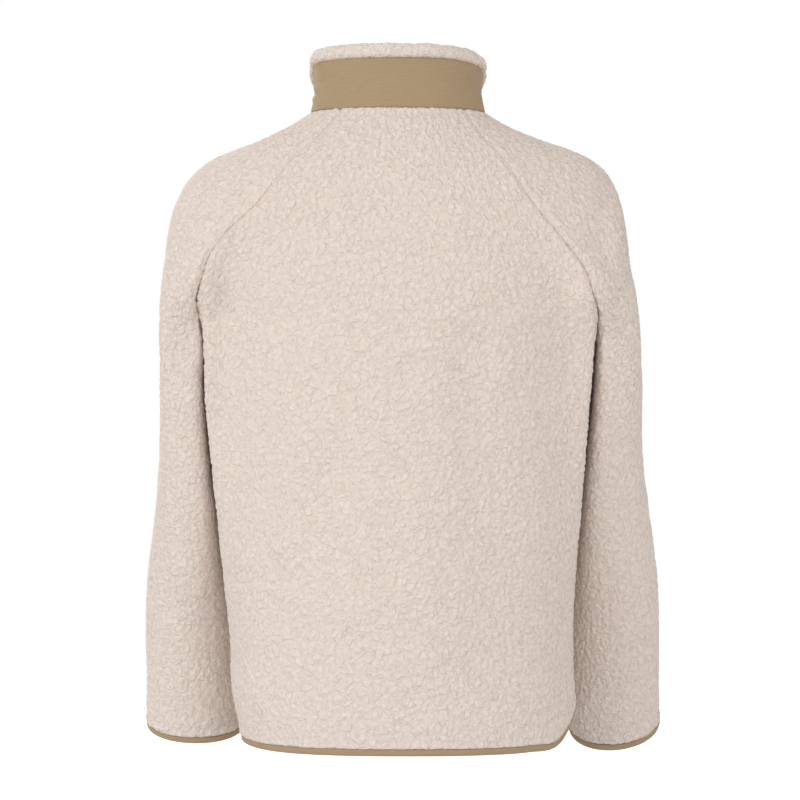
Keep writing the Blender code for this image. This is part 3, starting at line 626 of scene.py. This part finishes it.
def swept(name, sections, closed=False, masks=None):
    """A piece from closed outlines carried along a line. Its UV map is in metres, along it and round it."""
    count, around = sections.shape[:2]
    index = np.arange(count * around).reshape(count, around)
    index = np.concatenate([index, index[:, :1]], axis=1)
    looped = np.concatenate([sections, sections[:, :1]], axis=1)
    if closed:
        index, looped = np.concatenate([index, index[:1]]), np.concatenate([looped, looped[:1]])
    along = np.concatenate([[0], np.cumsum(np.linalg.norm(np.diff(looped, axis=0), axis=-1).mean(axis=1))])
    across = np.concatenate([[0], np.cumsum(np.linalg.norm(np.diff(looped, axis=1), axis=-1).mean(axis=0))])
    chart = np.stack(np.meshgrid(along, across, indexing="ij"), axis=-1) * MM

    def corners(grid):
        return np.stack([grid[:-1, :-1], grid[:-1, 1:], grid[1:, 1:], grid[1:, :-1]], axis=2)

    faces = corners(index).reshape(-1, 4).tolist()
    places = corners(chart).reshape(-1, 2).tolist()
    if not closed:
        faces += [index[0, :-1][::-1].tolist(), index[-1, :-1].tolist()]
        places += [*chart[0, :-1][::-1].tolist(), *chart[-1, :-1].tolist()]
    mesh = bpy.data.meshes.new(name)
    mesh.from_pydata((sections.reshape(-1, 3) * MM).tolist(), [], faces)
    mesh.uv_layers.new(name="UVMap").uv.foreach_set("vector", np.array(places, np.float32).ravel())
    for key, values in (masks or {}).items():
        mesh.attributes.new(key, "FLOAT", "POINT").data.foreach_set("value", values.ravel().astype(np.float32))
    shape = bmesh.new()
    shape.from_mesh(mesh)
    bmesh.ops.recalc_face_normals(shape, faces=shape.faces)
    shape.to_mesh(mesh)
    shape.free()
    mesh.shade_smooth()
    return link(name, mesh)


def binding_sections(edge, above, normals):
    """The folded strip's outline at each point of an edge, turned to the cloth's upward direction."""
    up = unit((above - edge) - normals * np.sum((above - edge) * normals, axis=1, keepdims=True))
    fold = edge - normals * FLEECE / 2 - up * BOUND_EDGE
    uneven = 0.25 * waves(edge[None], 9)[0]
    return np.array([[start + out_way * out * (1 + swell * 0.3) + up_way * high * (1 + swell * 0.2)
                      for out, high in BINDING_SECTION]
                     for start, out_way, up_way, swell in zip(fold, normals, up, uneven)])


weave = bpy.data.node_groups.new("Plain weave", "ShaderNodeTree")
for name, kind in (("Vector", "NodeSocketVector"), ("Threads", "NodeSocketFloat")):
    weave.interface.new_socket(name, in_out="INPUT", socket_type=kind)
for name in ("Height", "Tone"):
    weave.interface.new_socket(name, in_out="OUTPUT", socket_type="NodeSocketFloat")


def weave_node(kind, **settings):
    added = weave.nodes.new(kind)
    for key, value in settings.items():
        if key in added.inputs:
            added.inputs[key].default_value = value
        else:
            setattr(added, key, value)
    return added


weave_in, weave_out = weave_node("NodeGroupInput"), weave_node("NodeGroupOutput")
wave_scale = weave_node("ShaderNodeMath", operation="MULTIPLY")
wave_scale.inputs[1].default_value = np.pi / 10
weave.links.new(weave_in.outputs["Threads"], wave_scale.inputs[0])
warp = weave_node("ShaderNodeTexWave", bands_direction="X")
weft = weave_node("ShaderNodeTexWave", bands_direction="Y")
for threads in (warp, weft):
    weave.links.new(weave_in.outputs["Vector"], threads.inputs["Vector"])
    weave.links.new(wave_scale.outputs["Value"], threads.inputs["Scale"])
over = weave_node("ShaderNodeTexChecker")
weave.links.new(weave_in.outputs["Vector"], over.inputs["Vector"])
weave.links.new(weave_in.outputs["Threads"], over.inputs["Scale"])
crossing = weave_node("ShaderNodeMix", data_type="FLOAT")
weave.links.new(over.outputs["Fac"], crossing.inputs["Factor"])
weave.links.new(warp.outputs["Fac"], crossing.inputs["A"])
weave.links.new(weft.outputs["Fac"], crossing.inputs["B"])
weave.links.new(crossing.outputs["Result"], weave_out.inputs["Height"])
slub_place = weave_node("ShaderNodeVectorMath", operation="MULTIPLY")
slub_place.inputs[1].default_value = (60, 900, 1)
slubs = weave_node("ShaderNodeTexNoise", Scale=1.0, Detail=4.0, Roughness=0.6)
weave.links.new(weave_in.outputs["Vector"], slub_place.inputs[0])
weave.links.new(slub_place.outputs["Vector"], slubs.inputs["Vector"])
weave.links.new(slubs.outputs["Fac"], weave_out.inputs["Tone"])


def woven_material(name, colour, deep_colour, threads, strength):
    """Plain-woven cloth on a piece's own UV map, in a colour that varies from thread to thread, with shade
    painted into the dips between threads.
    """
    made, shader = new_material(name, colour, 0.86)
    shader.inputs["Sheen Weight"].default_value = 0.12
    shader.inputs["Specular IOR Level"].default_value = 0.25
    chart = node(made, "ShaderNodeUVMap", uv_map="UVMap")
    pattern = node(made, "ShaderNodeGroup", node_tree=weave)
    pattern.inputs["Threads"].default_value = threads
    join(made, chart.outputs["UV"], pattern.inputs["Vector"])
    # Painted shade and real tone: darker where the weave dips between threads, and varied by the threads'
    # slubs.
    shade = node(made, "ShaderNodeMath", operation="MULTIPLY_ADD")
    shade.inputs[1].default_value = 0.35
    join(made, pattern.outputs["Height"], shade.inputs[0])
    join(made, pattern.outputs["Tone"], shade.inputs[2])
    tones = node(made, "ShaderNodeValToRGB")
    tones.color_ramp.elements[0].position = 0.3
    tones.color_ramp.elements[0].color = (*deep_colour, 1)
    tones.color_ramp.elements[1].position = 0.95
    tones.color_ramp.elements[1].color = (*colour, 1)
    join(made, shade.outputs["Value"], tones.inputs["Fac"])
    join(made, tones.outputs["Color"], shader.inputs["Base Color"])
    threads_up = node(made, "ShaderNodeBump", Strength=strength, Distance=0.0002)
    join(made, pattern.outputs["Height"], threads_up.inputs["Height"])
    join(made, threads_up.outputs["Normal"], shader.inputs["Normal"])
    return made


trim = woven_material("Tan plain weave", (0.47, 0.345, 0.215), (0.38, 0.275, 0.165), 1700.0, 0.5)

front_start = -90 + np.degrees(np.arcsin((ZIP_GAP / read(BODY, "half_width", HEM_HEIGHT)) ** (1 / ROUNDNESS)))
hem_angles = np.linspace(front_start, 180 - front_start, 481)
hem_line = HEM_HEIGHT + read(HEM, "rise", hem_angles)
hem_rows = np.array([body_point(hem_angles, hem_line + up) for up in (BOUND_EDGE, 7.4, 11.0)])
hem_normals = grid_normals(hem_rows, 0)[0]
binding = swept("hem_binding_strip", binding_sections(hem_rows[0], hem_rows[1], hem_normals))
binding.data.materials.append(trim)
worn(binding, "hem_binding", "woven_trim", flat=(0.018, 0.97))

for side, name in ((1, "cuff_binding_left"), (-1, "cuff_binding_right")):
    rings = np.array([sleeve_ring(side, SLEEVE["height"][0] + up) for up in (BOUND_EDGE, 7.4, 11.0)])
    ring_normals = grid_normals(rings, 3)[0, :-1]
    binding = swept(name + "_strip", binding_sections(rings[0, :-1], rings[1, :-1], ring_normals), closed=True)
    binding.data.materials.append(trim)
    worn(binding, name, "woven_trim", flat=(0.018, 0.25))


# ---------------------------------------------------------------- collar
# The stand collar is a band of the same tan weave, lined with fleece that rolls over its top edge.
# Band and lining are sewn into the neck seam, and both end at the zip.

WOVEN = 1.2
COLLAR_COLUMNS = 240
COLLAR_DROOP = 0.11  # how much lower the collar stands at the right side
COLLAR = table(
    "height inset",
    (-5, 0.0),
    (0, 0.0),
    (15, 2.5),
    (30, 4.6),
    (42, 3.6),
    (50, 2.6),
    (65, 2.4),
)
# Section of the lining, rolled over the band's top edge: inwards, upwards.
LINING_SECTION = (
    (1.7, -0.4),
    (1.6, 12.0),
    (1.6, 24.0),
    (1.6, 36.0),
    (1.6, 47.5),
    (1.0, 49.6),
    (-0.9, 50.0),
    (-2.6, 52.0),
    (-3.0, 56.0),
    (-1.4, 60.6),
    (2.0, 63.2),
    (6.0, 63.2),
    (9.4, 60.6),
    (11.0, 56.5),
    (10.4, 51.5),
    (8.2, 45.5),
    (6.5, 40.0),
    (6.5, 24.0),
    (6.5, 12.0),
    (6.5, -2.6),
    (4.5, -2.4),
)


def collar_line(columns):
    """Points along the neck seam from one zip edge to the other, the way out from each, and its angle."""
    edge = 90 - np.degrees(np.arcsin((ZIP_GAP / read(BODY, "half_width", -NECK_DROP)) ** (1 / ROUNDNESS)))
    angles = np.linspace(-edge, 180 + edge, columns + 1)
    line = body_point(angles, neck_height(angles))
    along = np.gradient(line, axis=0)
    outward = unit(np.stack([along[:, 1], -along[:, 0], np.zeros(len(along))], axis=1))
    outward[[0, -1]] = [0, -1, 0]
    return angles, line, outward


def collar_grid(section, columns):
    """A section of (inwards, upwards) carried round the neckline: one row for each of its points."""
    angles, line, outward = collar_line(columns)
    lean = 1 - 0.8 * np.minimum(np.sin(np.radians(angles)), 0) ** 2
    rows = []
    for inwards, up in section:
        moved = inwards + read(COLLAR, "inset", up) * lean
        right_droop = COLLAR_DROOP * np.exp(-(((angles - 172) / 30) ** 2))
        left_droop = 0.03 * np.exp(-(((angles - 4) / 26) ** 2))
        rise = up * (1 - right_droop - left_droop)
        rows.append(line - outward * moved[:, None] + np.array([[0, 0, 1]]) * np.atleast_1d(rise)[:, None])
    return np.array(rows)


def outline(points, count):
    """A closed outline through points, rounded and read at even steps."""
    looped = np.array([*points[-3:], *points, *points[:4]], float)
    knots = np.concatenate([[0], np.cumsum(np.linalg.norm(np.diff(looped, axis=0), axis=-1))])
    return curve(knots, looped, np.linspace(knots[3], knots[3 + len(points)], count, endpoint=False))


band_rises = np.linspace(0.3, 49.0, 25)
band_outer = collar_grid([(0, up) for up in band_rises], COLLAR_COLUMNS)
band_inner = collar_grid([(WOVEN, up) for up in band_rises[::-1]], COLLAR_COLUMNS)
band_angles = collar_line(COLLAR_COLUMNS)[0]
ripple = 0.5 * waves(band_outer, 38)
crumple = np.exp(-(((band_angles - 8) / 15) ** 2))[None] * np.exp(-(((band_rises - 24) / 13) ** 2))[:, None]
ripple += 1.9 * crumple * np.sin(band_rises[:, None] / 1.9 + band_angles[None] / 9)
ripple *= np.sin(np.pi * (band_rises[:, None] - 0.3) / 48.7) ** 0.6
push = collar_line(COLLAR_COLUMNS)[2][None] * ripple[..., None]
band_sides = np.concatenate([band_outer + push, band_inner + push[::-1]])
band = swept("collar_band_cloth", band_sides.transpose(1, 0, 2))
band.data.materials.append(trim)
worn(band, "collar_band", "woven_trim", flat=(0.47, 0.049))

lining_section = outline(LINING_SECTION, 68)
lining_grid = collar_grid(lining_section, COLLAR_COLUMNS).transpose(1, 0, 2)
round_way = (np.roll(lining_grid, -1, axis=1) - np.roll(lining_grid, 1, axis=1)) / 2
lining_normals = unit(np.cross(np.gradient(lining_grid, axis=0), round_way))
from_middle = lining_grid - lining_grid.mean(axis=1, keepdims=True)
lining_normals *= np.sign(np.sum(lining_normals * from_middle))
covered = (lining_section[:, 0] < 3) & (lining_section[:, 1] < 50.2)
lining_pile = pile(lining_grid)
lining_lift = (lining_pile - 0.6) * CLUMP_DEPTH + 0.9 * waves(lining_grid, 14)
lining_grid += lining_normals * (lining_lift * ~covered)[..., None]
# Painted shade: the lining's "pile" mask is darker in the creases between clumps, and a painted shadow goes
# almost black in a thin line under the roll's lip, at the band's top.
roll_shadow = np.exp(-((np.hypot(lining_section[:, 0] - 0.3, lining_section[:, 1] - 49.8) / 1.3) ** 2))
lining_pile = (0.2 + 0.8 * lining_pile) * (1 - 0.95 * roll_shadow)
lining = swept("collar_lining_cloth", lining_grid, masks={"pile": lining_pile, "inside": lining_pile * 0})
lining.data.materials.append(fleece)
worn(lining, "collar_lining", "fleece", flat=(0.46, 0.075))


# ---------------------------------------------------------------- zip
# Two woven tapes are sewn behind the fronts' edges, and a moulded coil on each closes them down the middle.
# The dull metal slider stands at the top, and its pull hangs from the slider's crown.

TAPE_OUTER = 13.0
TAPE_WALL = 0.8
TAPE_BEHIND_FRONT = 0.9
TAPE_BEHIND_COLLAR = 1.7
CHAIN_HALF = 2.8
ZIP_TOP = 33.7
COIL_PITCH = 2.0
# Half of the closed chain's outline: out from its middle, forwards.
CHAIN_EDGE = (
    (0.15, 0.62), (0.9, 1.0), (1.7, 1.05), (2.4, 0.75), (2.8, 0.1), (2.3, -0.8), (1.2, -1.0), (0.3, -0.8),
)


def zip_line(step):
    """Points down the middle of the front, behind the fleece and the collar, and the way forwards at each."""
    heights = np.linspace(HEM_HEIGHT + BOUND_EDGE, -NECK_DROP - 14, 24)
    line = body_point(-90.0, heights)
    line[:, 0] = read(BODY, "centre_x", heights)
    along = np.gradient(line, axis=0)
    forward = unit(np.stack([np.zeros(len(line)), -along[:, 2], along[:, 1]], axis=1))
    line -= forward * (FLEECE + TAPE_BEHIND_FRONT)
    neck = body_point(-90.0, -NECK_DROP)
    back = neck[1] + LINING_SECTION[-2][0] + TAPE_BEHIND_COLLAR + 0.2 * read(COLLAR, "inset", 30.0)
    collar_part = [[0, back, neck[2] + up] for up in (-4.5, 5.0, 14.0, 24.0, ZIP_TOP)]
    line = np.concatenate([line, collar_part])
    forward = np.concatenate([forward, [[0, -1, 0]] * len(collar_part)])
    knots = np.concatenate([[0], np.cumsum(np.linalg.norm(np.diff(line, axis=0), axis=-1))])
    at = np.linspace(0, knots[-1], int(knots[-1] / step) + 1)
    straight = [[np.interp(at, knots, part[:, axis]) for axis in range(3)] for part in (line, forward)]
    return np.array(straight[0]).T, unit(np.array(straight[1]).T), at


tape = woven_material("Tan zip tape", (0.40, 0.30, 0.19), (0.30, 0.22, 0.14), 2300.0, 0.7)
tape_line, tape_forward, _ = zip_line(4.0)
for side, name in ((1, "zip_tape_left"), (-1, "zip_tape_right")):
    edges = [(CHAIN_HALF + 0.3, 0.0), *((x, 0.0) for x in np.linspace(4.5, 12.4, 6)), (TAPE_OUTER, 0.15),
             (TAPE_OUTER, TAPE_WALL - 0.15), *((x, TAPE_WALL) for x in np.linspace(12.4, 4.5, 6)),
             (CHAIN_HALF + 0.3, TAPE_WALL)]
    outlines = [[point + np.array([side * x, 0, 0]) - way * depth for x, depth in edges]
                for point, way in zip(tape_line, tape_forward)]
    made = swept(name + "_cloth", np.array(outlines))
    made.data.materials.append(tape)
    worn(made, name, "zip_tape", flat=(0.0103, 0.65))

chain_line, chain_forward, chain_at = zip_line(0.4)
sections = []
for point, way, at in zip(chain_line, chain_forward, chain_at):
    ring = []
    for side, edge in ((1, CHAIN_EDGE), (-1, CHAIN_EDGE[::-1])):
        for x, depth in edge:
            coil = 0.5 + 0.5 * np.cos(2 * np.pi * (at / COIL_PITCH + side * 0.25 - x * 0.12))
            out = x * (1 - 0.05 * (1 - coil))
            raised = depth * (0.62 + 0.38 * coil) - TAPE_WALL / 2
            ring.append(point + np.array([side * out, 0, 0]) + way * raised)
    sections.append(ring)
chain = swept("zip_chain_coils", np.array(sections))
coil, coil_shader = new_material("Moulded coil", (0.36, 0.27, 0.175), 0.42)
coil_cast = node(coil, "ShaderNodeTexNoise", Scale=260.0, Detail=3.0)
join(coil, node(coil, "ShaderNodeTexCoord").outputs["Object"], coil_cast.inputs["Vector"])
coil_tones = node(coil, "ShaderNodeValToRGB")
coil_tones.color_ramp.elements[0].color = (0.31, 0.23, 0.145, 1)
coil_tones.color_ramp.elements[1].color = (0.40, 0.305, 0.20, 1)
join(coil, coil_cast.outputs["Fac"], coil_tones.inputs["Fac"])
join(coil, coil_tones.outputs["Color"], coil_shader.inputs["Base Color"])
chain.data.materials.append(coil)
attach(chain, "jacket")
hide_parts("zip_chain")

metal, metal_shader = new_material("Dull zip metal", (0.45, 0.42, 0.38), 0.42)
metal_shader.inputs["Metallic"].default_value = 1.0
metal_place = node(metal, "ShaderNodeTexCoord").outputs["Object"]
scratch_place = node(metal, "ShaderNodeMapping", Scale=(3000.0, 3000.0, 300.0))
scratches = node(metal, "ShaderNodeTexNoise", Scale=1.0, Detail=4.0)
join(metal, metal_place, scratch_place.inputs["Vector"])
join(metal, scratch_place.outputs["Vector"], scratches.inputs["Vector"])
handled = node(metal, "ShaderNodeTexNoise", Scale=180.0, Detail=2.0)
join(metal, metal_place, handled.inputs["Vector"])
dullness = node(metal, "ShaderNodeMapRange")
dullness.inputs["To Min"].default_value = 0.32
dullness.inputs["To Max"].default_value = 0.56
join(metal, scratches.outputs["Fac"], dullness.inputs["Value"])
join(metal, dullness.outputs["Result"], metal_shader.inputs["Roughness"])
metal_tones = node(metal, "ShaderNodeValToRGB")
metal_tones.color_ramp.elements[0].position = 0.35
metal_tones.color_ramp.elements[0].color = (0.36, 0.33, 0.29, 1)
metal_tones.color_ramp.elements[1].position = 0.7
metal_tones.color_ramp.elements[1].color = (0.52, 0.49, 0.44, 1)
join(metal, handled.outputs["Fac"], metal_tones.inputs["Fac"])
join(metal, metal_tones.outputs["Color"], metal_shader.inputs["Base Color"])
brushed = node(metal, "ShaderNodeBump", Strength=0.15, Distance=0.0001)
join(metal, scratches.outputs["Fac"], brushed.inputs["Height"])
join(metal, brushed.outputs["Normal"], metal_shader.inputs["Normal"])
for name in ("zip_slider", "zip_pull"):
    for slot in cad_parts[name].material_slots:
        slot.material = metal


# ---------------------------------------------------------------- studio
# A plain pale floor below the jacket, a white surround, and soft light from the upper left of the back view.
# The camera looks straight at the back from three metres away.

floor_material, floor_shader = new_material("Studio floor", (0.82, 0.82, 0.82), 0.9)
floor_shader.inputs["Emission Color"].default_value = (1, 1, 1, 1)
floor_seen = node(floor_material, "ShaderNodeLightPath")
floor_glow = node(floor_material, "ShaderNodeMath", operation="MULTIPLY")
floor_glow.inputs[1].default_value = 0.45
join(floor_material, floor_seen.outputs["Is Camera Ray"], floor_glow.inputs[0])
join(floor_material, floor_glow.outputs["Value"], floor_shader.inputs["Emission Strength"])
bpy.ops.mesh.primitive_circle_add(vertices=96, radius=1.3, fill_type="NGON", location=(0, 0, -0.72))
floor = bpy.context.object
floor.name = "studio_floor"
floor.data.materials.append(floor_material)

world = bpy.data.worlds.new("Studio")
bpy.context.scene.world = world
world.use_nodes = True
surround = world.node_tree.nodes["Background"]
seen = world.node_tree.nodes.new("ShaderNodeLightPath")
warmth = world.node_tree.nodes.new("ShaderNodeMix")
warmth.data_type = "RGBA"
warmth.inputs["A"].default_value = (1, 0.965, 0.925, 1)
warmth.inputs["B"].default_value = (1, 1, 1, 1)
world.node_tree.links.new(seen.outputs["Is Camera Ray"], warmth.inputs["Factor"])
world.node_tree.links.new(warmth.outputs["Result"], surround.inputs["Color"])
strength = world.node_tree.nodes.new("ShaderNodeMapRange")
strength.inputs["To Min"].default_value = 0.67
strength.inputs["To Max"].default_value = 1.0
world.node_tree.links.new(seen.outputs["Is Camera Ray"], strength.inputs["Value"])
world.node_tree.links.new(strength.outputs["Result"], surround.inputs["Strength"])

for name, place, size, energy in (
    ("key_light", (2.4, 1.9, 0.9), 2.2, 32),
    ("back_fill", (-1.3, 3.0, 0.0), 1.6, 20),
    ("front_light", (1.6, -2.6, 1.2), 1.6, 40),
):
    bpy.ops.object.light_add(type="AREA", location=place)
    light = bpy.context.object
    light.name = name
    light.data.size = size
    light.data.energy = energy
    light.data.color = (0.97, 0.985, 1.0)
    light.rotation_euler = (Vector((0, 0, -0.3)) - Vector(place)).to_track_quat("-Z", "Y").to_euler()

bpy.ops.object.camera_add(location=(-0.002, 3.0, -0.286), rotation=(np.pi / 2, 0, np.pi))
camera = bpy.context.object
camera.data.sensor_width = 36
camera.data.lens = 36 * 3.0 / 0.8
bpy.context.scene.camera = camera
bpy.context.scene.view_settings.view_transform = "Standard"
